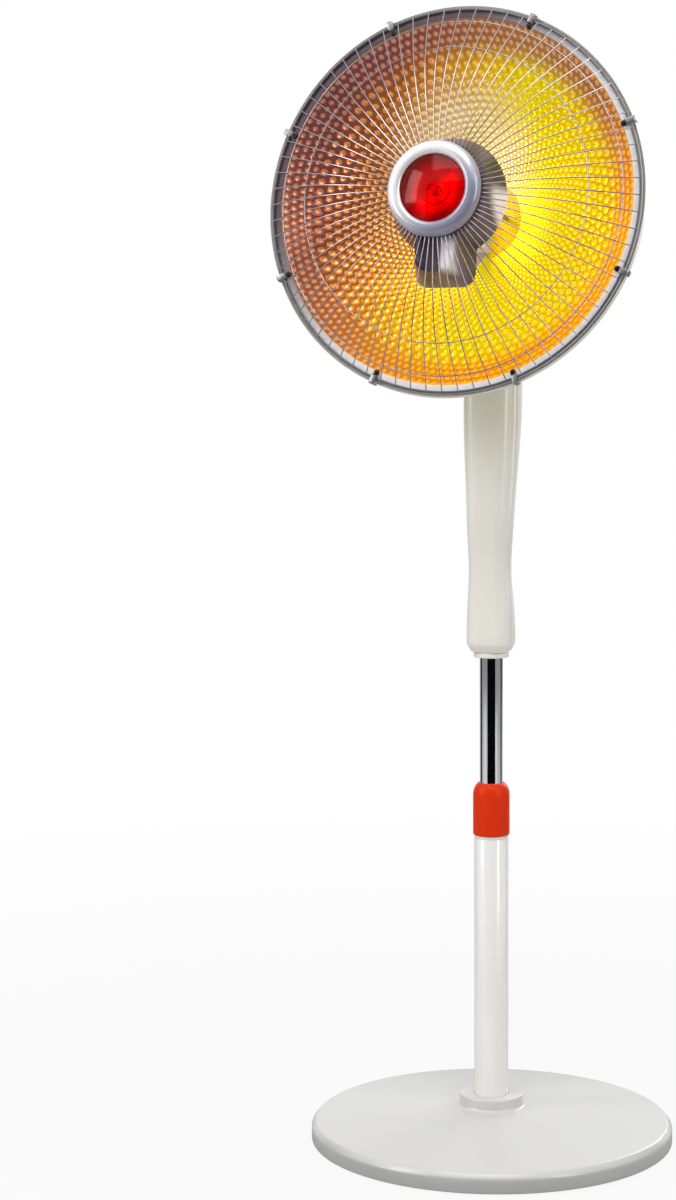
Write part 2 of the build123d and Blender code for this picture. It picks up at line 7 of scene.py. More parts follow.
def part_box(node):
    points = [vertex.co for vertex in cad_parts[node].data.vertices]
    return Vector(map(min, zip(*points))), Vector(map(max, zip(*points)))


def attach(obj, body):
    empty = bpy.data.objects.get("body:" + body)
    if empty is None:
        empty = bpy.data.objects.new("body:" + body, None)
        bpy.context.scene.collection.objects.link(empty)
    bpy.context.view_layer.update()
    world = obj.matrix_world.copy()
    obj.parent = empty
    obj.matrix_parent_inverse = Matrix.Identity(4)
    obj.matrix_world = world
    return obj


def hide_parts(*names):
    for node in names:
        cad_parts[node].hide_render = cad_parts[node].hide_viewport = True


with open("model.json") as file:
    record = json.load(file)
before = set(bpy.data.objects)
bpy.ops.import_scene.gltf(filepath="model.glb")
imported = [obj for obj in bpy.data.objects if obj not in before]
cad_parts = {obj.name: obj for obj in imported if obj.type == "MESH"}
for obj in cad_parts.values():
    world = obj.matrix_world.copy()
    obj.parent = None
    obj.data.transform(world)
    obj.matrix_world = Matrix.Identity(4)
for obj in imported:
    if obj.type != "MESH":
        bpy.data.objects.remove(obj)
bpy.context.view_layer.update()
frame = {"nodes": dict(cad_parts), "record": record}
nodes = frame["nodes"]
mm = 0.001
fullTurn = 2 * pi
print("frame loaded")

# The dish's own axes: X to the right, Y up the dish, Z out along it, from the rim's centre
dish = {"reach": 123.2, "height": 958.3, "tilt": 8.83}
lean = radians(dish["tilt"])
dishPlace = Matrix((
    (1, 0, 0, 0),
    (0, sin(lean), -cos(lean), -dish["reach"] * mm),
    (0, cos(lean), sin(lean), dish["height"] * mm),
    (0, 0, 0, 1),
))


# Modelling

def only(piece):
    bpy.ops.object.select_all(action="DESELECT")
    piece.select_set(True)
    bpy.context.view_layer.objects.active = piece


def edit(piece, kind="VERT"):
    only(piece)
    bpy.ops.object.mode_set(mode="EDIT")
    bpy.ops.mesh.select_mode(type=kind)
    bpy.ops.mesh.select_all(action="SELECT")


def leaveEdit():
    bpy.ops.object.mode_set(mode="OBJECT")


def picked(piece, kind, test):
    # opens a piece for editing with only the edges or faces selected that pass the test
    edit(piece, kind)
    bpy.ops.mesh.select_all(action="DESELECT")
    leaveEdit()
    for item in piece.data.edges if kind == "EDGE" else piece.data.polygons:
        item.select = test(item)
    bpy.ops.object.mode_set(mode="EDIT")


def tidied(piece, gap=0.00001):
    edit(piece)
    bpy.ops.mesh.remove_doubles(threshold=gap)
    bpy.ops.mesh.normals_make_consistent(inside=False)
    leaveEdit()
    return piece


def settled(piece, place):
    piece.matrix_world = place
    only(piece)
    bpy.ops.object.transform_apply(location=True, rotation=True, scale=True)
    return piece


def smoothed(piece, angle=35):
    only(piece)
    bpy.ops.object.shade_smooth_by_angle(angle=radians(angle))
    return piece


def modified(piece, kind, **values):
    only(piece)
    modifier = piece.modifiers.new(kind.title(), kind)
    for key, value in values.items():
        setattr(modifier, key, value)
    bpy.ops.object.modifier_apply(modifier=modifier.name)
    return piece


def bevelled(piece, width, segments=3, angle=30):
    return modified(piece, "BEVEL", width=width * mm, segments=segments, limit_method="ANGLE",
                    angle_limit=radians(angle), use_clamp_overlap=True)


def thickened(piece, thickness, offset=-1):
    return modified(piece, "SOLIDIFY", thickness=thickness * mm, offset=offset, use_even_offset=True)


def drawn(name, route):
    # a line through pairs of X and Z in millimetres, extruded point by point
    bpy.ops.object.select_all(action="DESELECT")
    bpy.ops.mesh.primitive_plane_add(size=mm)
    line = bpy.context.object
    line.name = name
    edit(line)
    bpy.ops.mesh.merge(type="CENTER")
    bpy.ops.transform.translate(value=(route[0][0] * mm, 0, route[0][1] * mm))
    for (x0, z0), (x1, z1) in zip(route, route[1:]):
        step = ((x1 - x0) * mm, 0, (z1 - z0) * mm)
        bpy.ops.mesh.extrude_region_move(TRANSFORM_OT_translate={"value": step})
    leaveEdit()
    return line


def block(size, place):
    # a box of this size in millimetres round this middle
    bpy.ops.object.select_all(action="DESELECT")
    bpy.ops.mesh.primitive_cube_add(size=1, location=[value * mm for value in place])
    piece = bpy.context.object
    piece.dimensions = [value * mm for value in size]
    bpy.ops.object.transform_apply(location=True, rotation=True, scale=True)
    return piece


def turned(name, outline, steps):
    # the outline spun all the way round Z
    piece = drawn(name, outline)
    edit(piece)
    bpy.ops.mesh.spin(steps=steps, angle=fullTurn, center=(0, 0, 0), axis=(0, 0, 1))
    leaveEdit()
    return tidied(piece)


def repeated(piece, count):
    # copies round Z in the same mesh, the last of them merged with the first
    edit(piece)
    bpy.ops.mesh.spin(steps=count, dupli=True, angle=fullTurn, center=(0, 0, 0), axis=(0, 0, 1))
    leaveEdit()
    return tidied(piece, 0.000002)


def spunTo(piece, degreesTurned):
    return settled(piece, Matrix.Rotation(radians(degreesTurned), 4, "Z"))


def joined(name, pieces):
    only(pieces[0])
    for piece in pieces:
        piece.select_set(True)
    bpy.ops.object.join()
    pieces[0].name = name
    return pieces[0]


def arc(centreX, centreZ, radius, start, stop, count):
    points = []
    for i in range(count + 1):
        angle = radians(start + (stop - start) * i / count)
        points.append((centreX + radius * cos(angle), centreZ + radius * sin(angle)))
    return points


def curved(points, between):
    # more points between those given, on a smooth line through them
    result = []
    for i in range(len(points) - 1):
        before = points[max(i - 1, 0)]
        start, stop = points[i], points[i + 1]
        after = points[min(i + 2, len(points) - 1)]
        for k in range(between):
            t = k / between
            result.append(tuple(
                0.5 * (2 * b + (c - a) * t + (2 * a - 5 * b + 4 * c - d) * t * t
                       + (3 * b - a - 3 * c + d) * t * t * t)
                for a, b, c, d in zip(before, start, stop, after)))
    return result + [tuple(points[-1])]


def handed(piece, body, slot, paint, *stoodFor):
    piece.data.materials.clear()
    piece.data.materials.append(paint)
    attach(piece, body)
    if stoodFor:
        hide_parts(*stoodFor)
    return piece


# Shader maths

class Value:
    def __init__(self, paint, socket):
        self.paint = paint
        self.socket = socket

    def maths(self, operation, *others):
        sockets = dict(enumerate((self, *others)))
        return self.paint.add("ShaderNodeMath", {"operation": operation}, sockets)

    def __add__(self, other):
        return self.maths("ADD", other)

    __radd__ = __add__

    def __mul__(self, other):
        return self.maths("MULTIPLY", other)

    __rmul__ = __mul__

    def __sub__(self, other):
        return self.maths("SUBTRACT", other)

    def __rsub__(self, other):
        return (self * -1) + other

    def __truediv__(self, other):
        return self.maths("DIVIDE", other)

    def __pow__(self, other):
        return self.maths("POWER", other)

    def between(self, low, high):
        # 0 at low and 1 at high, eased and clamped
        return self.paint.add("ShaderNodeMapRange", {"interpolation_type": "SMOOTHSTEP"},
                              {0: self, 1: low, 2: high, 3: 0.0, 4: 1.0})


class Paint:
    def __init__(self, name, colour, roughness, metallic=0.0, **settings):
        self.material = bpy.data.materials.new(name)
        self.material.use_nodes = True
        self.tree = self.material.node_tree
        self.shader = self.tree.nodes["Principled BSDF"]
        self.place = Value(self, self.tree.nodes.new("ShaderNodeTexCoord").outputs["Object"])
        self.set("Base Color", (*colour, 1))
        self.set("Roughness", roughness)
        self.set("Metallic", metallic)
        for key, value in settings.items():
            self.set(key.replace("_", " "), value)

    def add(self, kind, settings, sockets, output=0):
        node = self.tree.nodes.new(kind)
        for key, value in settings.items():
            if key == "stops":
                self.stops(node.color_ramp, value)
            else:
                setattr(node, key, value)
        for key, value in sockets.items():
            if isinstance(value, Value):
                self.tree.links.new(value.socket, node.inputs[key])
            else:
                node.inputs[key].default_value = value
        return Value(self, node.outputs[output])

    def stops(self, ramp, stops):
        for i, (position, colour) in enumerate(stops):
            stop = ramp.elements[i] if i < 2 else ramp.elements.new(position)
            stop.position = position
            stop.color = (*colour, 1)

    def set(self, name, value):
        if isinstance(value, Value):
            self.tree.links.new(value.socket, self.shader.inputs[name])
        else:
            self.shader.inputs[name].default_value = value

    def noise(self, scale, detail=3.0, roughness=0.5, stretch=None):
        place = self.place
        if stretch:
            place = self.add("ShaderNodeMapping", {}, {"Vector": place, "Scale": stretch})
        return self.add("ShaderNodeTexNoise", {},
                        {"Vector": place, "Scale": scale, "Detail": detail, "Roughness": roughness})

    def mixed(self, factor, first, second):
        return self.add("ShaderNodeMix", {"data_type": "RGBA"}, {0: factor, 6: first, 7: second}, 2)

    def tint(self, height, low, high):
        return self.mixed(height, (*low, 1), (*high, 1))

    def bump(self, height, strength, distance):
        sockets = {"Height": height, "Strength": strength, "Distance": distance}
        self.set("Normal", self.add("ShaderNodeBump", {}, sockets))

    def height(self):
        return self.add("ShaderNodeSeparateXYZ", {}, {0: self.place}, 2)

    def attribute(self, name):
        return self.add("ShaderNodeAttribute", {"attribute_name": name}, {}, 2)


def worn(name, colour, roughness, grain, depth, metallic=0.0, spread=0.04, shift=0.03, **settings):
    # a finish with a soft change of colour and gloss over it and a fine grain in its surface
    paint = Paint(name, colour, roughness, metallic, **settings)
    cloud = paint.noise(9.0, 4.0)
    dark = tuple(max(0.0, c * (1 - shift * 2)) for c in colour)
    light = tuple(min(1.0, c * (1 + shift)) for c in colour)
    paint.set("Base Color", paint.tint(cloud, dark, light))
    paint.set("Roughness", paint.noise(40.0, 3.0) * (2 * spread) + (roughness - spread))
    paint.bump(paint.noise(grain, 2.0), 0.35, depth * mm)
    return paint


def brushed(name, colour, roughness, stretch):
    paint = Paint(name, colour, roughness, 1.0)
    lines = paint.noise(60.0, 6.0, 0.7, stretch)
    paint.set("Roughness", lines * 0.16 + (roughness - 0.08))
    darker = tuple(c * 0.85 for c in colour)
    paint.set("Base Color", paint.tint(paint.noise(14.0, 3.0), darker, colour))
    paint.bump(lines, 0.12, 0.05 * mm)
    return paint


def chromed(name, colour, roughness):
    paint = Paint(name, colour, roughness, 1.0)
    smears = paint.noise(22.0, 5.0, 0.6, (1.0, 1.0, 0.25))
    paint.set("Roughness", smears.between(0.45, 0.8) * 0.06 + roughness)
    paint.bump(paint.noise(260.0, 1.0), 0.04, 0.02 * mm)
    return paint


def clear(name, colour, roughness, bend, waves, depth):
    # glass or clear plastic, very slightly wavy
    paint = Paint(name, colour, roughness, Transmission_Weight=1.0, IOR=bend)
    paint.bump(paint.noise(waves), depth, depth * mm)
    return paint


def onDish(paint):
    # across and up in the dish's own axes, and the distance from its middle
    axes = paint.add("ShaderNodeMapping", {"vector_type": "TEXTURE"}, {
        "Vector": paint.place, "Location": (0.0, -dish["reach"] * mm, dish["height"] * mm),
        "Rotation": (radians(90 - dish["tilt"]), 0.0, 0.0)})
    across, up = (paint.add("ShaderNodeSeparateXYZ", {}, {0: axes}, i) for i in range(2))
    return across, up, (across * across + up * up) ** 0.5


def goldWithPaintedGlow():
    # dimpled aluminium with the element's glow painted on: a painted reflection, yellow on one side and
    # brown on the other, and a painted glow
    paint = Paint("reflectorPaintedGlow", (0.9, 0.6, 0.2), 0.24, 0.85)
    across, up, radius = onDish(paint)
    edge = 187 * mm
    right, top = across / edge, up / edge  # -1 to 1 over the dish
    cloud = paint.noise(16.0, 2.0)
    # painted reflection of the element's glow: yellow to the right and lower down, brown to the upper
    # left
    shade = right * 0.50 - top * 0.13 + 0.60 + (cloud - 0.5) * 0.10
    dots = paint.add("ShaderNodeValToRGB", {"stops": [
        (0.0, (0.42, 0.12, 0.08)),
        (1.0, (0.94, 0.80, 0.02)),
        (0.20, (0.66, 0.24, 0.09)),
        (0.38, (0.90, 0.42, 0.07)),
        (0.54, (0.96, 0.66, 0.05)),
        (0.68, (0.93, 0.86, 0.02)),
    ]}, {0: shade})
    # painted shade in the gaps between the dimples
    gapShade = paint.add("ShaderNodeValToRGB", {"stops": [
        (0.0, (0.055, 0.018, 0.030)),
        (1.0, (0.66, 0.50, 0.004)),
        (0.20, (0.18, 0.055, 0.045)),
        (0.38, (0.46, 0.15, 0.020)),
        (0.54, (0.74, 0.40, 0.010)),
        (0.68, (0.74, 0.60, 0.005)),
    ]}, {0: shade})
    # outer band: painted reflection of the glow, orange below and salmon above, with painted shadow to
    # the upper left
    outer = radius.between(138 * mm, 166 * mm)
    high = top.between(-0.25, 0.75)
    outerDots = paint.mixed(high, (0.96, 0.40, 0.015, 1), (0.74, 0.26, 0.18, 1))
    outerGapShade = paint.mixed(high, (0.70, 0.22, 0.008, 1), (0.26, 0.075, 0.075, 1))
    shadow = 1 - (right - top * 0.4).between(-0.75, 0.35)
    outerDots = paint.mixed(shadow * 0.8, outerDots, (0.46, 0.20, 0.17, 1))
    outerGapShade = paint.mixed(shadow * 0.8, outerGapShade, (0.13, 0.045, 0.055, 1))
    # painted pale glow above the hub
    aside, above = across + 14 * mm, up - 62 * mm
    inner = 1 - ((aside * aside + above * above) ** 0.5).between(30 * mm, 88 * mm)
    dots = paint.mixed(inner * 0.9, paint.mixed(outer * 0.8, dots, outerDots), (1.0, 0.88, 0.55, 1))
    gapShade = paint.mixed(inner * 0.8, paint.mixed(outer * 0.8, gapShade, outerGapShade), (0.84, 0.64, 0.28, 1))
    bowlColour = paint.mixed(paint.attribute("pressed").between(0.10, 0.60), gapShade, dots)
    # painted reflection on the flange lip: dark to the upper left, white to the lower right
    lip = radius.between(177.0 * mm, 179.0 * mm)
    lipReflectionSide = (right * 0.75 - top * 0.75).between(-0.75, 0.35)
    lipReflection = paint.mixed(lipReflectionSide, (0.10, 0.06, 0.085, 1), (0.90, 0.88, 0.90, 1))
    plain = paint.mixed(lip, (0.62, 0.61, 0.60, 1), lipReflection)
    front = paint.attribute("front")
    paint.set("Base Color", paint.mixed(front, plain, bowlColour))
    # painted glow: the same painted colours given out as light, though the reflector is no lamp
    paint.set("Emission Color", paint.mixed(front, (0, 0, 0, 1), bowlColour))
    paint.set("Emission Strength", 0.46)
    paint.set("Metallic", (1 - lip) * 0.85)
    paint.set("Roughness", paint.noise(90.0, 3.0) * 0.12 + 0.16)
    return paint


def chromeWithPaintedReflections():
    # chrome with its reflections painted on, as a dark satin: painted dark reflection bands and painted
    # highlights on the cheek and the tongue
    paint = Paint("shieldChrome", (0.22, 0.19, 0.24), 0.3, 0.0, Specular_IOR_Level=0.3)
    across, up = onDish(paint)[:2]
    # painted highlight on the right cheek
    cheekHighlight = across.between(48 * mm, 53 * mm)
    cheekHighlight = cheekHighlight * (1 - up.between(-2 * mm, 12 * mm)) * up.between(-44 * mm, -32 * mm)
    # painted highlight strip down the tongue
    tongueHighlight = across.between(4 * mm, 9 * mm) * (1 - across.between(17 * mm, 22 * mm))
    tongueHighlight = tongueHighlight * (1 - up.between(-52 * mm, -40 * mm)) * up.between(-80 * mm, -72 * mm)
    # painted dark purple reflection bands
    reflectionBands = paint.noise(30.0, 3.0, 0.5, (1.0, 0.3, 0.3)).between(0.35, 0.7)
    dark = paint.tint(reflectionBands, (0.035, 0.026, 0.040), (0.21, 0.18, 0.27))
    paint.set("Base Color", paint.mixed(cheekHighlight + tongueHighlight, dark, (0.95, 0.93, 0.97, 1)))
    paint.set("Roughness", paint.noise(60.0, 3.0) * 0.10 + 0.26)
    paint.bump(paint.noise(260.0, 1.0), 0.04, 0.02 * mm)
    return paint


def satinBezel():
    # silvered plastic, with painted light: whiter to the upper left, darker to the lower right
    paint = Paint("bezelSilver", (0.6, 0.6, 0.68), 0.3, 0.35, Coat_Weight=0.3, Coat_Roughness=0.1)
    across, up = onDish(paint)[:2]
    # painted light from the upper left
    light = (up - across).between(-46 * mm, 40 * mm)
    paint.set("Base Color", paint.tint(light, (0.30, 0.30, 0.40), (0.88, 0.88, 0.90)))
    paint.set("Roughness", paint.noise(70.0, 3.0) * 0.1 + 0.22)
    paint.bump(paint.noise(900.0, 2.0), 0.2, 0.02 * mm)
    return paint


def lacqueredBase():
    # pale lacquer on steel, with painted shade: a little greyer down the side
    paint = Paint("baseCream", (0.63, 0.625, 0.605), 0.34, Coat_Weight=0.4, Coat_Roughness=0.16)
    # painted shade: the side darker than the top
    top = paint.height().between(12 * mm, 22 * mm)
    colour = paint.mixed(top, (0.42, 0.42, 0.405, 1), (0.63, 0.625, 0.605, 1))
    cloud = paint.noise(9.0, 4.0)
    paint.set("Base Color", paint.mixed(cloud * 0.3, colour, (0.56, 0.56, 0.545, 1)))
    paint.set("Roughness", paint.noise(40.0, 3.0) * 0.08 + 0.30)
    paint.bump(paint.noise(420.0, 2.0), 0.35, 0.06 * mm)
    return paint


def redCup():
    # the faceted reflector behind the lens: dark at its rim, with painted pink glints round its middle
    # and a painted glow
    paint = Paint("lensCup", (0.5, 0.01, 0.01), 0.25, 0.3)
    radius = onDish(paint)[2]
    rim = radius.between(17 * mm, 29 * mm)
    # painted pink glints
    glints = paint.noise(260.0, 2.0, 0.6).between(0.52, 0.62)
    glints = glints * (1 - radius.between(6 * mm, 12 * mm))
    red = paint.mixed(rim, (0.62, 0.012, 0.014, 1), (0.22, 0.002, 0.003, 1))
    colour = paint.mixed(glints * 0.7, red, (0.95, 0.40, 0.36, 1))
    paint.set("Base Color", colour)
    # painted glow, though the cup is no lamp
    paint.set("Emission Color", colour)
    paint.set("Emission Strength", 0.30)
    return paint


def neckWithPaintedShade():
    # cream plastic, with painted shade: a little browner up under the dish
    paint = Paint("neckCream", (0.84, 0.81, 0.75), 0.32, Coat_Weight=0.35, Coat_Roughness=0.14)
    # painted shade under the dish
    upper = paint.height().between(660 * mm, 770 * mm)
    colour = paint.mixed(upper, (0.87, 0.84, 0.77, 1), (0.63, 0.60, 0.47, 1))
    cloud = paint.noise(12.0, 4.0)
    paint.set("Base Color", paint.mixed(cloud * 0.25, colour, (0.80, 0.77, 0.72, 1)))
    paint.set("Roughness", paint.noise(40.0, 3.0) * 0.08 + 0.28)
    paint.bump(paint.noise(900.0, 2.0), 0.3, 0.05 * mm)
    return paint


paints = {
    "baseCream": lacqueredBase(),
    "shellCream": worn("shellCream", (0.80, 0.78, 0.70), 0.30, 420, 0.06,
                       Coat_Weight=0.3, Coat_Roughness=0.15),
    "neckCream": neckWithPaintedShade(),
    "tubeWhite": worn("tubeWhite", (0.87, 0.86, 0.83), 0.24, 500, 0.04,
                      Coat_Weight=0.6, Coat_Roughness=0.12),
    "collarOrange": worn("collarOrange", (0.72, 0.032, 0.002), 0.34, 800, 0.05,
                         Specular_IOR_Level=0.12),
    "nylonWhite": worn("nylonWhite", (0.78, 0.77, 0.74), 0.45, 700, 0.08),
    "plasticBlack": worn("plasticBlack", (0.020, 0.020, 0.022), 0.42, 800, 0.10),
    "screwBlack": worn("screwBlack", (0.012, 0.012, 0.013), 0.30, 600, 0.05, 0.3),
    "rimGrey": worn("rimGrey", (0.14, 0.14, 0.15), 0.30, 500, 0.05, 0.6),
    "rubberFoot": worn("rubberFoot", (0.025, 0.025, 0.025), 0.75, 500, 0.20),
    "castIron": worn("castIron", (0.08, 0.08, 0.085), 0.60, 260, 0.50, 0.7),
    "whiteCeramic": worn("whiteCeramic", (0.82, 0.80, 0.74), 0.25, 300, 0.05, Coat_Weight=0.6),
    "bezelSilver": satinBezel(),
    "clipSteel": worn("clipSteel", (0.30, 0.30, 0.31), 0.34, 500, 0.05, 0.8),
    "zincSteel": brushed("zincSteel", (0.62, 0.62, 0.60), 0.34, (1.0, 1.0, 6.0)),
    "wireChrome": chromed("wireChrome", (0.44, 0.38, 0.40), 0.16),
    "tubeChrome": chromed("tubeChrome", (0.86, 0.87, 0.88), 0.04),
    "shieldChrome": chromeWithPaintedReflections(),
    "reflectorPaintedGlow": goldWithPaintedGlow(),
    "filamentGlow": worn("filamentGlow", (0.05, 0.03, 0.02), 0.6, 900, 0.2,
                         Emission_Color=(1.0, 0.36, 0.05, 1), Emission_Strength=14.0),
    "quartzClear": clear("quartzClear", (1.0, 0.86, 0.70), 0.04, 1.46, 80.0, 0.05),
    "lensRed": clear("lensRed", (0.96, 0.05, 0.05), 0.05, 1.22, 60.0, 0.04),
    "lensCup": redCup(),
}
for key, paint in paints.items():
    paints[key] = paint.material
print("paints mixed")


# Base and stem

base = {"radius": 186.5, "side": 16.5, "edge": 22.0, "edgeRun": 4.5, "crown": 37.0,
        "boss": 33.0, "bossTop": 49.0, "wall": 2.5, "lift": 2.0, "tubeGap": 17.6, "steps": 160,
        "soften": 2.6}


def makeBase():
    b = base
    inside = b["radius"] - b["wall"]
    under = b["edge"] - 2 * b["wall"]
    cover = turned("baseCover", [
        (b["radius"], b["lift"]),
        (b["radius"], b["side"]),
        (b["radius"] - b["edgeRun"], b["edge"]),
        (b["boss"] + 2.0, b["crown"] - 0.2),
        (b["boss"], b["crown"] + 1.6),
        (b["boss"], b["bossTop"]),
        (b["tubeGap"], b["bossTop"]),
        (b["tubeGap"], b["crown"] - 4),
        (inside, under),
        (inside, b["lift"]),
        (b["radius"], b["lift"]),
    ], b["steps"])
    bevelled(cover, b["soften"], 4, 18)
    smoothed(cover, 40)
    handed(cover, "stand", "painted_cream", paints["baseCream"], "base_cover")


tube = {"lower": 17.5, "lowerBore": 16.0, "lowerFoot": 20.5, "lowerTop": 317.0,
        "upper": 11.7, "upperBore": 10.5, "upperFoot": 178.0, "upperTop": 633.0, "steps": 96}


def makeTubes():
    t = tube
    lower = turned("lowerTube", [
        (t["lowerBore"], t["lowerFoot"]), (t["lower"], t["lowerFoot"]),
        (t["lower"], t["lowerTop"] - 1.0), (t["lower"] - 0.5, t["lowerTop"]),
        (t["lowerBore"], t["lowerTop"]), (t["lowerBore"], t["lowerFoot"]),
    ], t["steps"])
    smoothed(lower)
    handed(lower, "stand", "tube_white", paints["tubeWhite"], "lower_tube")
    upper = turned("upperTube", [
        (t["upperBore"], t["upperFoot"]), (t["upper"], t["upperFoot"]),
        (t["upper"], t["upperTop"]), (t["upperBore"], t["upperTop"]),
        (t["upperBore"], t["upperFoot"]),
    ], t["steps"])
    smoothed(upper)
    handed(upper, "mast", "chrome", paints["tubeChrome"], "inner_tube")


collar = {"radius": 18.8, "bottom": 320.3, "shoulder": 361.0, "top": 374.2, "collet": 14.5,
          "bore": 12.1, "lid": 12.0, "steps": 96}


def makeCollar():
    c = collar
    crown = [(c["radius"] - 0.2, c["shoulder"] + 3), (c["radius"] - 0.9, c["shoulder"] + 6.5),
             (c["radius"] - 2.3, c["shoulder"] + 9.8), (c["radius"] - 4.4, c["top"] - 0.8),
             (c["radius"] - 5.8, c["top"])]
    ring = turned("lockCollar", [
        (c["collet"], c["bottom"]), (c["radius"] - 0.8, c["bottom"]),
        (c["radius"], c["bottom"] + 1.0), (c["radius"], c["shoulder"]), *crown, (c["bore"], c["top"]),
        (c["bore"], c["top"] - c["lid"]), (c["collet"], c["top"] - c["lid"]),
        (c["collet"], c["bottom"]),
    ], c["steps"])
    smoothed(ring, 32)
    handed(ring, "collar", "collar_orange", paints["collarOrange"], "lock_collar")


# The neck's sections are rows of height, width, depth and shift backwards
neck = {
    "sections": [(509.7, 36.0, 36.0, 0.0), (514.0, 40.5, 40.0, -0.5), (520.0, 44.6, 43.6, -1.0),
                 (537.0, 44.0, 43.6, -1.5), (555.0, 42.5, 43.0, -2.0), (595.0, 38.5, 40.0, -4.0),
                 (635.0, 42.0, 43.0, -3.5), (675.0, 45.8, 46.5, -0.8), (716.0, 50.4, 50.4, 2.2),
                 (756.0, 53.0, 54.0, 5.0), (805.0, 52.6, 54.0, 7.4), (850.0, 50.4, 50.6, 8.0),
                 (858.0, 49.0, 49.0, 8.0)],
    "corner": 10.0, "cornerSteps": 7, "rowsBetween": 5, "seam": 0.15, "ring": 18.0,
    "ringBottom": 503.7, "ringSteps": 72,
}


def neckHull(name):
    height, width, depth, shift = neck["sections"][0]
    bpy.ops.object.select_all(action="DESELECT")
    bpy.ops.mesh.primitive_plane_add(size=1, location=(0, 0, 0))
    hull = bpy.context.object
    hull.name = name
    hull.scale = (width * mm, depth * mm, 1)
    hull.location = (0, shift * mm, height * mm)
    bpy.ops.object.transform_apply(location=True, rotation=True, scale=True)
    edit(hull)
    bpy.ops.mesh.bevel(offset=neck["corner"] * mm, segments=neck["cornerSteps"], affect="VERTICES")
    bpy.ops.mesh.select_all(action="SELECT")
    rows = curved(neck["sections"], neck["rowsBetween"])
    for (z0, w0, d0, y0), (z1, w1, d1, y1) in zip(rows, rows[1:]):
        bpy.ops.mesh.extrude_region_move(
            TRANSFORM_OT_translate={"value": (0, (y1 - y0) * mm, (z1 - z0) * mm)})
        bpy.ops.transform.resize(value=(w1 / w0, d1 / d0, 1),
                                 center_override=(0, y1 * mm, z1 * mm))
    leaveEdit()
    return tidied(hull)


def makeNeck():
    n = neck
    for name, node, side in (("neckFront", "neck_front", -1), ("neckRear", "neck_rear", 1)):
        half = neckHull(name)
        edit(half, "FACE")
        bpy.ops.mesh.bisect(plane_co=(0, side * n["seam"] * mm, 0), plane_no=(0, -side, 0),
                            use_fill=True, clear_inner=False, clear_outer=True)
        leaveEdit()
        tidied(half)
        bevelled(half, 0.5, 2, 50)
        smoothed(half, 40)
        handed(half, "mast", "neck_cream", paints["neckCream"], node)
    bore, foot = tube["upper"] + 0.1, n["ringBottom"]
    ring = turned("neckRing", [
        (bore, foot), (n["ring"] - 0.8, foot), (n["ring"], foot + 0.8), (n["ring"], foot + 4.6),
        (n["ring"] - 1.2, foot + 5.2), (n["ring"] - 1.2, foot + 6.4), (bore, foot + 6.4), (bore, foot),
    ], n["ringSteps"])
    smoothed(ring)
    handed(ring, "mast", "neck_cream", paints["neckCream"])


# Dish

shell = {"rim": 190.0, "front": -2.4, "bead": -6.0, "bowl": 186.0, "bowlFront": -9.0,
         "vertex": -112.0, "back": 55.0, "hole": 9.0, "wall": 2.4, "rows": 18, "steps": 144,
         "vents": 8, "ventFirst": 22.5, "ventAt": 76.8, "ventLong": 30.6, "ventWide": 5.0,
         "ventDeep": 60.0, "ventMiddle": -95.0}


def makeShell():
    s = shell

    def depth(radius):
        return s["vertex"] + (s["bowlFront"] - s["vertex"]) * (radius / s["bowl"]) ** 2

    radii = [s["back"] + (s["bowl"] - s["back"]) * i / s["rows"] for i in range(s["rows"] + 1)]
    outline = [(s["hole"], depth(s["back"])), (s["back"] - 6, depth(s["back"]))]
    outline += [(r, depth(r)) for r in radii]
    outline += arc(s["rim"] - 3, s["bead"] - 0.4, 3.0, -60, 0, 4)
    outline += [(s["rim"], s["front"] - 0.6), (s["rim"] - 0.6, s["front"])]
    cover = turned("rearShell", outline, s["steps"])
    thickened(cover, s["wall"])
    cutter = block((s["ventLong"], s["ventWide"], s["ventDeep"]),
                   (s["ventAt"], 0, s["ventMiddle"]))

    def upright(edge):
        first, second = (cutter.data.vertices[i].co.z for i in edge.vertices)
        return abs(first - second) > mm

    picked(cutter, "EDGE", upright)
    bpy.ops.mesh.bevel(offset=s["ventWide"] * 0.49 * mm, segments=5)
    leaveEdit()
    repeated(cutter, s["vents"])
    spunTo(cutter, s["ventFirst"])
    modified(cover, "BOOLEAN", object=cutter, operation="DIFFERENCE", solver="EXACT")
    bpy.data.objects.remove(cutter)
    smoothed(cover, 40)
    settled(cover, dishPlace)
    handed(cover, "head", "painted_cream", paints["shellCream"], "rear_shell")


bowl = {"radius": 178.0, "front": -3.2, "vertex": -96.0, "flat": 40.0, "hole": 8.0, "wall": 0.9,
        "flange": 187.0, "flangeFront": -1.6, "dimpled": 154.0, "ratio": 1.057, "rows": 24,
        "perRow": 96, "fineRows": 4, "finePerRow": 144, "perDimple": 4, "steps": 576, "depth": 0.15,
        "fineDepth": 0.10, "backRows": (75, 110, 145, 172), "dimpleRoom": 1.2}


def bowlDepth(radius):
    b = bowl
    return b["vertex"] + (b["front"] - b["vertex"]) * (max(radius, b["flat"]) / b["radius"]) ** 2


def dimple(radius, turn):
    # how deep a point lies in its dimple, from 0 to 1, and how far that presses it back
    b = bowl
    if radius > b["dimpled"]:
        row = (radius - b["dimpled"]) / (b["radius"] - b["dimpled"]) * b["fineRows"]
        count, size = b["finePerRow"], b["fineDepth"]
    else:
        row = log(b["dimpled"] / max(radius, 1.0)) / log(b["ratio"])
        count, size = b["perRow"], b["depth"]
    if row > b["rows"] or row < 0:
        return 0.0, 0.0
    whole = int(row + 0.0001)
    along = turn * count / fullTurn + 0.5 * (whole % 2)  # every other row is shifted half a dimple
    cup = (0.5 - 0.5 * cos(fullTurn * (row - whole))) * (0.5 + 0.5 * cos(fullTurn * along))
    return cup, size * radius * fullTurn / count * cup


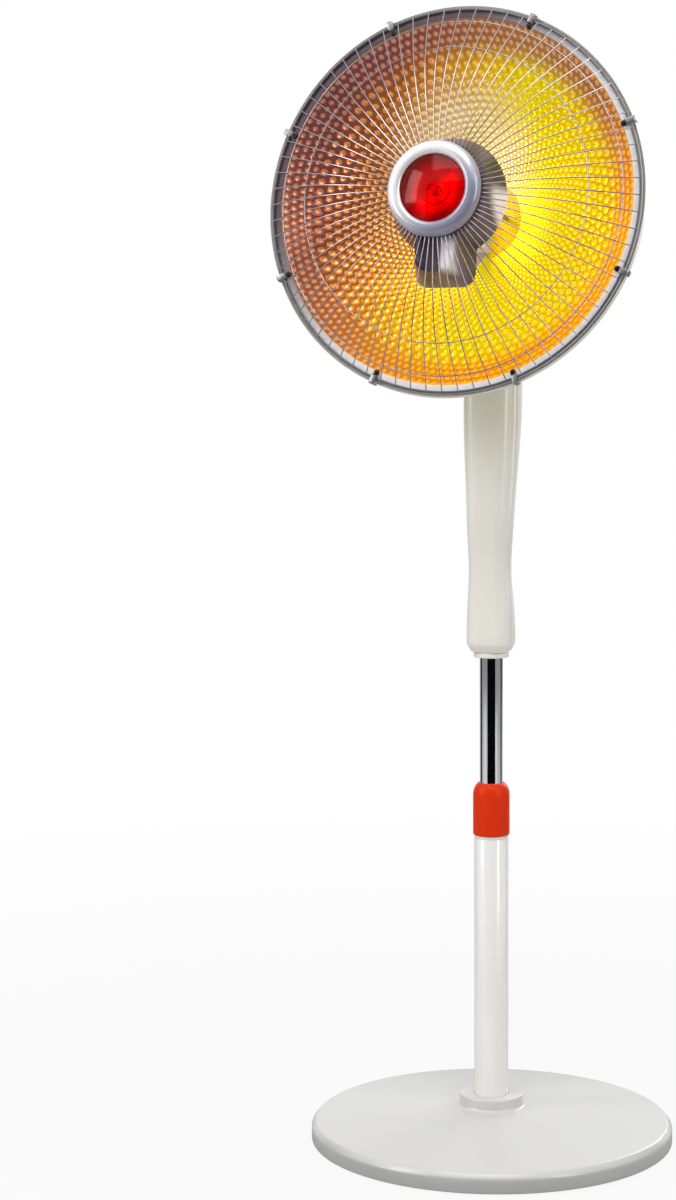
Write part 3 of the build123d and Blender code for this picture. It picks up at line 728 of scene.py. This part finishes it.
def makeReflector():
    b = bowl
    fine = b["fineRows"] * b["perDimple"]
    coarse = b["rows"] * b["perDimple"]
    radii = [b["radius"] - (b["radius"] - b["dimpled"]) * i / fine for i in range(fine)]
    radii += [b["dimpled"] / b["ratio"] ** (i / b["perDimple"]) for i in range(coarse + 1)]
    front = [(b["flange"], b["flangeFront"]), (b["radius"] + 0.8, b["flangeFront"])]
    front += [(r, bowlDepth(r)) for r in radii]
    floor = bowlDepth(b["flat"])
    back = [(b["hole"], floor), (b["hole"], floor - b["wall"]), (b["flat"], floor - b["wall"])]
    back += [(r, bowlDepth(r) - b["wall"] - b["dimpleRoom"]) for r in b["backRows"]]
    under = b["flangeFront"] - 0.8
    back += [(b["radius"] + 1.0, under), (b["flange"], under), front[0]]
    dished = turned("reflectorBowl", front + back, b["steps"])
    slope = 2 * (b["front"] - b["vertex"]) / b["radius"] ** 2
    pressed = dished.data.attributes.new("pressed", "FLOAT", "POINT")
    frontSide = dished.data.attributes.new("front", "FLOAT", "POINT")
    for vertex in dished.data.vertices:
        x, y, z = vertex.co / mm
        radius = hypot(x, y)
        if radius >= b["radius"] - 0.1 or abs(z - bowlDepth(radius)) >= 0.2:
            continue
        frontSide.data[vertex.index].value = 1.0
        if radius > b["flat"]:
            cup, press = dimple(radius, atan2(y, x))
            pressed.data[vertex.index].value = cup
            rise = slope * radius
            long = sqrt(1 + rise * rise)
            inwards = Vector((x * rise / radius / long, y * rise / radius / long, -1 / long))
            vertex.co += inwards * press * mm
    smoothed(dished, 60)
    settled(dished, dishPlace)
    handed(dished, "head", "reflector_gold", paints["reflectorPaintedGlow"], "reflector")


wire = {"route": [(38.5, 50.0), (70.0, 47.6), (100.0, 42.8), (125.0, 35.2), (145.0, 25.6),
                  (162.0, 16.0), (174.0, 9.0)],
        "end": (185.4, 2.2), "radius": 0.62, "count": 72, "rimRadius": 185.3, "rimWire": 1.35,
        "frontRing": 171.0, "middleRing": 142.0, "middleWire": 0.5, "middleDrop": 1.3,
        "ringSteps": 180}


def wireHeight(radius):
    # how far the wires stand out at this distance from the middle
    rows = curved(wire["route"], 6)
    for (r0, z0), (r1, z1) in zip(rows, rows[1:]):
        if r0 <= radius <= r1:
            return z0 + (z1 - z0) * (radius - r0) / (r1 - r0)
    return rows[-1][1]


def makeGrille():
    w = wire
    strand = drawn("grilleWires", curved(w["route"], 2) + [w["end"]])
    only(strand)
    bpy.ops.object.convert(target="CURVE")
    strand = bpy.context.object
    strand.data.bevel_depth = w["radius"] * mm
    strand.data.bevel_resolution = 2
    strand.data.use_fill_caps = True
    bpy.ops.object.convert(target="MESH")
    strand = bpy.context.object
    repeated(strand, w["count"])
    smoothed(strand, 50)
    settled(strand, dishPlace)
    handed(strand, "head", "chrome", paints["wireChrome"], "grille_wires")
    rings = [
        ("rimRing", w["rimRadius"], w["rimWire"], 0.0, "rim_grey", "rimGrey", "grille_rim_ring"),
        ("frontRing", w["frontRing"], w["radius"], wireHeight(w["frontRing"]) - 2 * w["radius"],
         "chrome", "wireChrome", "grille_front_ring"),
        ("middleRing", w["middleRing"], w["middleWire"],
         wireHeight(w["middleRing"]) - w["middleDrop"], "chrome", "wireChrome", "grille_middle_ring"),
    ]
    for name, radius, thick, height, slot, paint, node in rings:
        bpy.ops.object.select_all(action="DESELECT")
        bpy.ops.mesh.primitive_torus_add(major_radius=radius * mm, minor_radius=thick * mm,
                                         major_segments=w["ringSteps"], minor_segments=12)
        ring = bpy.context.object
        ring.name = name
        smoothed(ring, 80)
        settled(ring, dishPlace @ Matrix.Translation((0, 0, height * mm)))
        handed(ring, "head", slot, paints[paint], node)


clip = {"width": 5.6, "sheet": 1.2, "count": 8, "first": 22.5, "foot": 176.6, "riser": 182.7,
        "clear": 0.5, "soften": 0.25, "screw": 179.4, "head": 2.9, "shank": 1.5, "long": 3.0,
        "screwSteps": 20}


def makeClips():
    c = clip
    foot = bowl["flangeFront"] + c["sheet"] / 2
    over = wire["rimWire"] + c["sheet"] / 2
    leg = shell["rim"] + c["clear"] + c["sheet"] / 2
    hook = shell["bead"] - 1.0
    strap = drawn("grilleClips", [
        (c["foot"], foot), (c["riser"] - 1.1, foot), (c["riser"] - 0.2, foot + 1.2),
        (c["riser"], over - 0.8), (c["riser"] + 0.7, over), (leg - 1.0, over), (leg, over - 1.0),
        (leg, hook), (leg - 0.6, hook - 0.6)])
    edit(strap)
    bpy.ops.mesh.extrude_region_move(TRANSFORM_OT_translate={"value": (0, c["width"] * mm, 0)})
    bpy.ops.mesh.select_all(action="SELECT")
    bpy.ops.transform.translate(value=(0, -c["width"] * mm / 2, 0))
    leaveEdit()
    thickened(strap, c["sheet"], 0)
    tidied(strap)
    bevelled(strap, c["soften"], 2, 40)
    repeated(strap, c["count"])
    spunTo(strap, c["first"])
    smoothed(strap, 40)
    settled(strap, dishPlace)
    handed(strap, "head", "zinc_steel", paints["clipSteel"], "grille_clips")
    top = bowl["flangeFront"] + c["sheet"]
    screw = turned("clipScrews", [
        (0, top + 0.6), (0.8, top + 0.7), (1.0, top + 1.65), (1.8, top + 1.45), (2.6, top + 0.8),
        (c["head"], top + 0.1), (c["head"], top), (c["shank"], top), (c["shank"], top - c["long"]),
        (0, top - c["long"])], c["screwSteps"])
    edit(screw)
    bpy.ops.transform.translate(value=(c["screw"] * mm, 0, 0))
    leaveEdit()
    repeated(screw, c["count"])
    spunTo(screw, c["first"])
    smoothed(screw, 35)
    settled(screw, dishPlace)
    handed(screw, "head", "black_screw", paints["screwBlack"], "clip_screws")


shield = {"radius": 58.0, "back": 9.0, "front": 44.5, "taper": 17.0, "sheet": 1.0,
          "halfTongue": 30.5, "tongue": 86.0, "corner": 14.0, "edge": 5.0, "steps": 192,
          "sideRows": (9.0, 15.0, 22.0, 29.0, 35.0, 39.5), "edgeRows": 5,
          "faceRows": (0.8, 0.55, 0.3, 0.0)}


def keyhole(turn, inset):
    # distance from the centre to the shield's outline in one direction
    s = shield
    x, y = cos(turn), sin(turn)
    reach = s["radius"] - inset
    if y < 0:
        half, low, corner = s["halfTongue"] - inset, s["tongue"] - inset, s["corner"]
        tongue = min(half / max(abs(x), 0.001), low / -y)
        cornerX, cornerY = half - corner, low - corner
        if abs(x) * tongue > cornerX and -y * tongue > cornerY:
            along = abs(x) * cornerX - y * cornerY
            off = cornerX ** 2 + cornerY ** 2 - corner ** 2
            tongue = along + sqrt(max(along * along - off, 0.0))
        reach = max(reach, tongue)
    return reach


def makeShield():
    s = shield
    slant = tan(radians(s["taper"]))
    rows = [(s["radius"] - (z - s["back"]) * slant, z) for z in s["sideRows"]]
    sideRadius, sideTop = rows[-1]
    for i in range(1, s["edgeRows"] + 1):
        angle = radians(90 * i / s["edgeRows"])
        rows.append((sideRadius - s["edge"] * (1 - cos(angle)),
                     sideTop + (s["front"] - sideTop) * sin(angle)))
    flat = rows[-1][0]
    rows += [(flat * share, s["front"]) for share in s["faceRows"]]
    cup = turned("frontShield", rows, s["steps"])
    for vertex in cup.data.vertices:
        x, y = vertex.co.x / mm, vertex.co.y / mm
        radius = hypot(x, y)
        if radius > 0.1:
            inset = s["radius"] - max(radius, flat)
            reach = keyhole(atan2(y, x), inset) * min(radius / flat, 1.0)
            vertex.co.x = x / radius * reach * mm
            vertex.co.y = y / radius * reach * mm
    thickened(cup, s["sheet"])
    smoothed(cup, 30)
    settled(cup, dishPlace)
    handed(cup, "head", "chrome", paints["shieldChrome"], "front_shield")


hub = {"plate": 48.5, "seat": 51.0, "radius": 46.0, "bore": 32.0, "side": 56.0, "top": 62.0,
       "steps": 128, "soften": 0.9, "lens": 31.8, "lensEdge": 60.0, "lensCrown": 67.3,
       "lensWall": 2.0, "lensRows": 12, "lensSteps": 96, "facets": 24,
       "cup": [(0, 3.5), (5.0, 3.0), (6.0, 1.2), (14.0, 3.6), (15.0, 2.6), (30.8, 8.6), (30.8, 0.2),
               (0, 0.2)]}


def makeHub():
    h = hub
    ring = turned("hubBezel", [
        (h["bore"], h["plate"]), (38.0, h["plate"]), (38.0, h["seat"]), (h["radius"], h["seat"]),
        (h["radius"], h["side"]), (h["radius"] - 2.0, h["side"] + 3.4), (h["radius"] - 6.0, h["top"]),
        (h["bore"] + 3.0, h["top"]), (h["bore"] + 0.6, h["top"] - 1.6), (h["bore"], h["top"] - 3.4),
        (h["bore"], h["plate"])], h["steps"])
    bevelled(ring, h["soften"], 3, 16)
    smoothed(ring, 35)
    settled(ring, dishPlace)
    handed(ring, "head", "bezel_white", paints["bezelSilver"], "hub_bezel")
    dome = []
    for i in range(h["lensRows"] + 1):
        share = i / h["lensRows"]
        drop = (h["lensCrown"] - h["lensEdge"]) * share ** 2
        dome.append((h["lens"] * share, h["lensCrown"] - drop))
    inner = [(r * 0.93, z - h["lensWall"]) for r, z in dome[::-1]]
    edge = (h["lens"], h["lensEdge"] - 3.0)
    glass = turned("hubLens", dome + [edge] + inner, h["lensSteps"])
    smoothed(glass, 40)
    settled(glass, dishPlace)
    handed(glass, "head", "lens_red", paints["lensRed"], "hub_lens")
    cup = turned("lensCup", [(r, h["plate"] + z) for r, z in h["cup"]], h["facets"])
    settled(cup, dishPlace)
    handed(cup, "head", "lens_red", paints["lensCup"])


knob = {"back": 28.6, "height": 700.0, "radius": 15.0, "skirt": 3.0, "spindle": 3.0, "steps": 72,
        "gripWide": 6.0, "gripLong": 27.9, "gripTop": (0.9, 0.62, 1), "soften": 1.0}


def makeKnob():
    # pointer knob on the back of the neck, built upright and then laid back
    k = knob
    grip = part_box("power_knob")[1].y / mm - k["back"]
    skirt = turned("powerKnob", [
        (0, 0.2), (k["spindle"], 0.2), (k["spindle"], 0.0), (k["radius"] - 0.8, 0.0),
        (k["radius"], 0.8), (k["radius"] - 0.3, k["skirt"] - 0.9), (k["radius"] - 1.3, k["skirt"]),
        (9.0, k["skirt"]), (7.6, k["skirt"] + 0.8), (0, k["skirt"] + 0.8)], k["steps"])
    bar = block((k["gripLong"], k["gripWide"], grip - k["skirt"]), (0, 0, (grip + k["skirt"]) / 2))
    picked(bar, "FACE", lambda face: face.normal.z > 0.5)
    bpy.ops.transform.resize(value=k["gripTop"])
    leaveEdit()
    bevelled(bar, k["soften"], 4)
    whole = joined("powerKnob", [skirt, bar])
    smoothed(whole, 40)
    spot = Matrix.Translation((0, k["back"] * mm, k["height"] * mm))
    settled(whole, spot @ Matrix.Rotation(radians(-90), 4, "X"))
    handed(whole, "knob", "black_plastic", paints["plasticBlack"], "power_knob")


# Node, body, paint and softening of the CAD's other nodes. A copy with its doubles merged and its
# edges softened stands for each.
dressed = [
    ("base_plate", "stand", "zincSteel", 0.3), ("base_feet", "stand", "rubberFoot", 0.8),
    ("base_plate_screws", "stand", "zincSteel", 0.3), ("base_weight", "stand", "castIron", 0.8),
    ("bolt_washer", "stand", "zincSteel", 0.3), ("tube_bolt", "stand", "zincSteel", 0.4),
    ("guide_bush", "stand", "nylonWhite", 0.3), ("tube_shoe", "mast", "nylonWhite", 0.4),
    ("neck_screws", "mast", "zincSteel", 0.3), ("swivel_bearing", "mast", "nylonWhite", 0.5),
    ("power_switch", "mast", "plasticBlack", 0.5), ("tip_switch", "mast", "plasticBlack", 0.5),
    ("terminal_block", "mast", "nylonWhite", 0.4), ("cord_gland", "mast", "plasticBlack", 0.5),
    ("yoke", "yoke", "zincSteel", 0.5),
    ("swivel_clip", "yoke", "zincSteel", 0.3), ("tilt_bolt", "yoke", "zincSteel", 0.4),
    ("tilt_nut", "yoke", "zincSteel", 0.4), ("friction_washers", "yoke", "nylonWhite", 0.2),
    ("tilt_lug", "head", "zincSteel", 0.5), ("lug_screws", "head", "zincSteel", 0.3),
    ("element_bracket", "head", "zincSteel", 0.3), ("bracket_screws", "head", "zincSteel", 0.3),
    ("element_holders", "head", "whiteCeramic", 0.8), ("quartz_tube", "head", "quartzClear", 0.0),
    ("carbon_filament", "head", "filamentGlow", 0.0), ("element_leads", "head", "nylonWhite", 0.3),
    ("element_terminal", "head", "whiteCeramic", 0.6), ("thermal_cutout", "head", "plasticBlack", 0.5),
    ("shield_posts", "head", "zincSteel", 0.3), ("shield_screws", "head", "zincSteel", 0.3),
    ("hub_plate", "head", "zincSteel", 0.3), ("hub_screws", "head", "zincSteel", 0.3),
]


def dress():
    slots = {entry["node"]: entry["material_slot"] for entry in frame["record"]["subparts"]}
    for node, body, paint, edge in dressed:
        source = nodes[node]
        piece = bpy.data.objects.new(node.title().replace("_", ""), source.data.copy())
        bpy.context.scene.collection.objects.link(piece)
        edit(piece)
        bpy.ops.mesh.remove_doubles(threshold=0.000005)
        bpy.ops.mesh.dissolve_limited(angle_limit=radians(0.5))
        leaveEdit()
        if edge:
            bevelled(piece, edge, 2, 25)
        smoothed(piece, 32)
        handed(piece, body, slots[node], paints[paint], node)


makeBase()
makeTubes()
makeCollar()
makeNeck()
print("base, stem and neck modelled")
makeShell()
makeReflector()
print("shell and reflector modelled")
makeGrille()
makeClips()
makeShield()
makeHub()
makeKnob()
print("grille, shield, hub and knob modelled")
dress()
print("small pieces dressed")


# Stage, light and camera

# The camera sees the floor whitened, wholly so past the far distance
stage = {"floor": 16.0, "floorColour": (0.50, 0.50, 0.50), "whiten": 0.91, "near": 0.4, "far": 2.2,
         "world": 0.42}
# Dark cards that only shiny surfaces see, each with its bearing from the stem and its width
cards = {"reach": 1.35, "low": 0.01, "high": 1.60,
         "each": [("frontCard", 17.7, 2.3), ("leftCard", -100.0, 0.55), ("rightCard", 135.0, 0.55)]}


def makeStage():
    bpy.ops.object.select_all(action="DESELECT")
    bpy.ops.mesh.primitive_plane_add(size=stage["floor"], location=(0, 0, 0))
    floor = bpy.context.object
    floor.name = "floor"
    pale = Paint("floorPale", stage["floorColour"], 0.9, Specular_IOR_Level=0.0)
    away = pale.add("ShaderNodeVectorMath", {"operation": "LENGTH"}, {0: pale.place}, 1)
    direct = pale.add("ShaderNodeLightPath", {}, {})
    glow = pale.add("ShaderNodeEmission", {}, {"Color": (1, 1, 1, 1)})
    whiten = stage["whiten"]
    share = direct * (away.between(stage["near"], stage["far"]) * (1 - whiten) + whiten)
    plain = Value(pale, pale.shader.outputs[0])
    mix = pale.add("ShaderNodeMixShader", {}, {0: share, 1: plain, 2: glow})
    pale.tree.links.new(mix.socket, pale.tree.nodes["Material Output"].inputs["Surface"])
    floor.data.materials.append(pale.material)
    black = Paint("cardBlack", (0.004, 0.004, 0.005), 0.9, Specular_IOR_Level=0.0)
    reach, low, high = cards["reach"], cards["low"], cards["high"]
    for name, bearing, width in cards["each"]:
        turn = radians(bearing)
        middle = (reach * sin(turn), -reach * cos(turn), (low + high) / 2)
        bpy.ops.mesh.primitive_plane_add(size=1, location=middle, rotation=(radians(90), 0, turn))
        card = bpy.context.object
        card.name = name
        card.scale = (width, high - low, 1)
        card.visible_camera = False
        card.visible_diffuse = False
        card.visible_shadow = False
        card.data.materials.append(black.material)
    makeSky()


def makeSky():
    # white to the camera and in reflections, dimmer as a light
    world = bpy.context.scene.world or bpy.data.worlds.new("studio")
    bpy.context.scene.world = world
    world.use_nodes = True
    tree = world.node_tree
    tree.nodes.clear()
    output = tree.nodes.new("ShaderNodeOutputWorld")
    sky = tree.nodes.new("ShaderNodeBackground")
    sky.inputs["Color"].default_value = (1, 1, 1, 1)
    rays = tree.nodes.new("ShaderNodeLightPath")
    level = tree.nodes.new("ShaderNodeMapRange")
    level.inputs["To Min"].default_value = 1.0
    level.inputs["To Max"].default_value = stage["world"]
    tree.links.new(rays.outputs["Is Diffuse Ray"], level.inputs["Value"])
    tree.links.new(level.outputs[0], sky.inputs["Strength"])
    tree.links.new(sky.outputs[0], output.inputs[0])


def makeLamp(name, place, aim, width, height, power):
    bpy.ops.object.light_add(type="AREA", location=place)
    lamp = bpy.context.object
    lamp.name = name
    lamp.data.shape = "RECTANGLE"
    lamp.data.size = width
    lamp.data.size_y = height
    lamp.data.energy = power
    lamp.rotation_euler = (Vector(aim) - Vector(place)).to_track_quat("-Z", "Y").to_euler()


lamps = [
    ("leftBox", (-2.2, -2.0, 1.9), (0, 0, 0.8), 1.0, 2.2, 46.0),
    ("rightBox", (2.6, -1.2, 1.6), (0, 0, 0.7), 0.8, 2.2, 30.0),
    ("topBox", (0.3, -1.5, 3.3), (0, 0, 0.2), 2.4, 1.2, 34.0),
    ("backBox", (0.9, 2.8, 1.9), (0, 0, 0.8), 1.6, 2.0, 34.0),
]
# Where the photograph was taken from, in millimetres and degrees
view = {"place": (792.2, -2476.4, 815.0), "bearing": 17.74, "yaw": 3.443, "pitch": 5.55, "roll": -0.334,
        "lens": 76.8}


def makeCamera():
    v = view
    ahead = Vector((-sin(radians(v["bearing"])), cos(radians(v["bearing"])), 0))
    ahead.rotate(Matrix.Rotation(radians(v["yaw"]), 3, "Z"))
    ahead = Vector((ahead.x * cos(radians(v["pitch"])), ahead.y * cos(radians(v["pitch"])),
                    -sin(radians(v["pitch"]))))
    right = Vector((ahead.y, -ahead.x, 0)).normalized()
    up = right.cross(ahead)
    roll = radians(v["roll"])
    rolledRight = right * cos(roll) + up * sin(roll)
    rolledUp = up * cos(roll) - right * sin(roll)
    bpy.ops.object.camera_add(location=(0, 0, 0))
    camera = bpy.context.object
    camera.name = "camera"
    turn = Matrix((rolledRight, rolledUp, -ahead)).transposed().to_4x4()
    camera.matrix_world = Matrix.Translation(Vector(v["place"]) * mm) @ turn
    camera.data.lens = v["lens"]
    camera.data.sensor_width = 36
    camera.data.clip_end = 60
    bpy.context.scene.camera = camera


makeStage()
for name, place, aim, width, height, power in lamps:
    makeLamp(name, place, aim, width, height, power)
makeCamera()
bpy.context.scene.view_settings.view_transform = "Standard"
print("stage, lamps and camera set")

bpy.context.view_layer.update()
